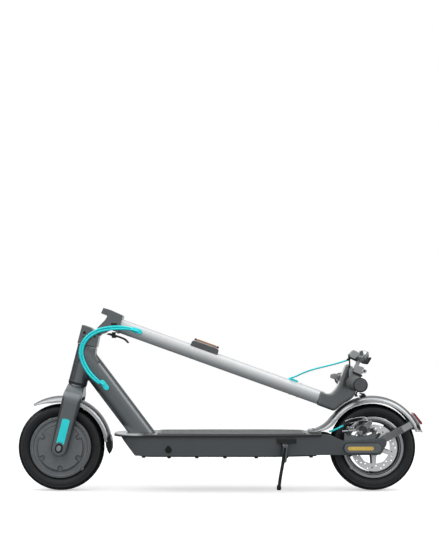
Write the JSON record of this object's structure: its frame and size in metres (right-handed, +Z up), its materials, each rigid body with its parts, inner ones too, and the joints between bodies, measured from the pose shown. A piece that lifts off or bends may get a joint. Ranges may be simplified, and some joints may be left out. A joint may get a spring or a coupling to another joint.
{
  "type": "electric kick scooter",
  "caption": "Folding electric kick scooter, stored folded, with a hub motor, a rear disc brake and a kickstand.",
  "frame": {"origin": "on the ground, below the middle of the scooter's length and width", "axes": "+Z up, -X forward, +Y to the rider's right"},
  "size_m": [1.0538, 0.43, 0.475],
  "materials": {
    "frame_grey": "satin grey paint",
    "mid_grey": "satin mid grey paint",
    "dark_grey": "satin dark grey paint",
    "silver": "smooth silver",
    "steel": "bare steel",
    "black_rubber": "matt black rubber",
    "black_plastic": "matt black plastic",
    "tyre": "black rubber tyre",
    "cyan": "bright cyan plastic",
    "amber": "amber reflector",
    "red": "red lens",
    "copper": "copper tinted lens",
    "black_gloss": "glossy black cover"
  },
  "bodies": {
    "frame": {"main_frame": "frame_grey", "headset_bearings": "steel", "deck_tray": "frame_grey", "deck_mat": "black_rubber", "bottom_cover": "black_plastic", "battery_pack": "black_plastic", "controller": "steel", "rear_axle": "steel", "rear_fender": "silver", "tail_light": "red", "fender_stay": "mid_grey", "fender_catch": "black_plastic", "caliper_bracket": "frame_grey", "caliper_body": "mid_grey", "rear_brake_cable": "cyan", "side_cover_left": "frame_grey", "side_cover_right": "frame_grey", "side_reflector_left": "amber", "side_reflector_right": "amber", "kickstand_bracket": "dark_grey", "motor_cable_frame": "cyan", "brake_cable_frame": "cyan"},
    "charge_cap": {"charge_cap": "black_rubber"},
    "kickstand": {"kickstand_leg": "steel"},
    "caliper_arm": {"caliper_arm": "silver"},
    "fork": {"fork": "mid_grey", "fork_insert_left": "cyan", "fork_insert_right": "cyan", "fold_base": "dark_grey", "hinge_pin": "steel", "front_fender": "silver", "mudflap": "black_rubber", "front_axle": "steel", "motor_cable_stem": "cyan", "brake_cable_stem": "cyan"},
    "front_wheel": {"front_tyre": "tyre", "hub_motor": "mid_grey", "motor_cover": "mid_grey"},
    "rear_wheel": {"rear_tyre": "tyre", "rear_rim": "dark_grey", "brake_rotor": "silver"},
    "stem": {"stem_foot": "dark_grey", "stem_tube": "silver", "stem_head": "dark_grey", "handlebar": "black_plastic", "grip_left": "black_rubber", "grip_right": "black_rubber", "brake_perch": "mid_grey", "bell_dome": "silver", "throttle_housing": "dark_grey", "display_cover": "black_gloss", "headlight_housing": "dark_grey", "headlight_lens": "copper", "brake_cable_bar": "cyan"},
    "fold_lever": {"fold_lever": "black_plastic"},
    "latch_hook": {"latch_hook": "black_plastic"},
    "brake_lever": {"brake_lever": "dark_grey"},
    "bell_lever": {"bell_lever": "black_plastic"},
    "throttle_paddle": {"throttle_paddle": "mid_grey"},
    "power_button": {"power_button": "steel"}
  },
  "joints": [
    {"name": "steering", "type": "hinge", "parent": "frame", "child": "fork", "pos_m": [-0.415, 0, 0.112], "axis": [0.2385, 0, 0.9711], "range_deg": [-45, 45], "deforming": ["motor_cable_frame", "brake_cable_frame"]},
    {"name": "stem_fold", "type": "hinge", "parent": "fork", "child": "stem", "pos_m": [-0.3138, 0, 0.4168], "axis": [0, -1, 0], "range_deg": [0, 96], "deforming": ["motor_cable_stem", "brake_cable_stem"]},
    {"name": "fold_lever_pivot", "type": "hinge", "parent": "stem", "child": "fold_lever", "pos_m": [-0.2965, 0, 0.4068], "axis": [0, 1, 0], "range_deg": [0, 45]},
    {"name": "latch_hook_pivot", "type": "hinge", "parent": "stem", "child": "latch_hook", "pos_m": [0.3596, 0, 0.2555], "axis": [0, -1, 0], "range_deg": [0, 16], "stiffness_Nm_per_rad": 0.02, "springref_deg": -11.46},
    {"name": "brake_lever_pivot", "type": "hinge", "parent": "stem", "child": "brake_lever", "pos_m": [0.3463, -0.0864, 0.34745], "axis": [0.9412, 0, -0.3379], "range_deg": [0, 14], "stiffness_Nm_per_rad": 2, "springref_deg": -17.19},
    {"name": "caliper_arm_pivot", "type": "hinge", "parent": "frame", "child": "caliper_arm", "pos_m": [0.361, -0.049, 0.152], "axis": [0, -1, 0], "range_deg": [0, 14]},
    {"name": "throttle_pivot", "type": "hinge", "parent": "stem", "child": "throttle_paddle", "pos_m": [0.3405, 0.074, 0.281], "axis": [0, 1, 0], "range_deg": [0, 30], "stiffness_Nm_per_rad": 0.1, "springref_deg": -28.65},
    {"name": "bell_lever_pivot", "type": "hinge", "parent": "stem", "child": "bell_lever", "pos_m": [0.38554, -0.079, 0.34133], "axis": [0, -1, 0], "range_deg": [0, 12], "stiffness_Nm_per_rad": 0.05, "springref_deg": -17.19},
    {"name": "power_button_press", "type": "slide", "parent": "stem", "child": "power_button", "axis": [-1, 0, 0], "range_m": [0, 0.0012], "stiffness_N_per_m": 400, "springref_m": -0.001},
    {"name": "kickstand_pivot", "type": "hinge", "parent": "frame", "child": "kickstand", "pos_m": [0.168, -0.089, 0.118], "axis": [0, -1, 0], "range_deg": [0, 85]},
    {"name": "charge_cap_hinge", "type": "hinge", "parent": "frame", "child": "charge_cap", "pos_m": [-0.1323, -0.0738, 0.1205], "axis": [-1, 0, 0], "range_deg": [0, 100]},
    {"name": "front_wheel_spin", "type": "hinge", "parent": "fork", "child": "front_wheel", "pos_m": [-0.415, 0, 0.112], "axis": [0, 1, 0], "continuous": true},
    {"name": "rear_wheel_spin", "type": "hinge", "parent": "frame", "child": "rear_wheel", "pos_m": [0.3975, 0, 0.112], "axis": [0, 1, 0], "continuous": true}
  ],
  "couplings": [
    {"joint": "caliper_arm_pivot", "follows": "brake_lever_pivot", "ratio": 1}
  ]
}
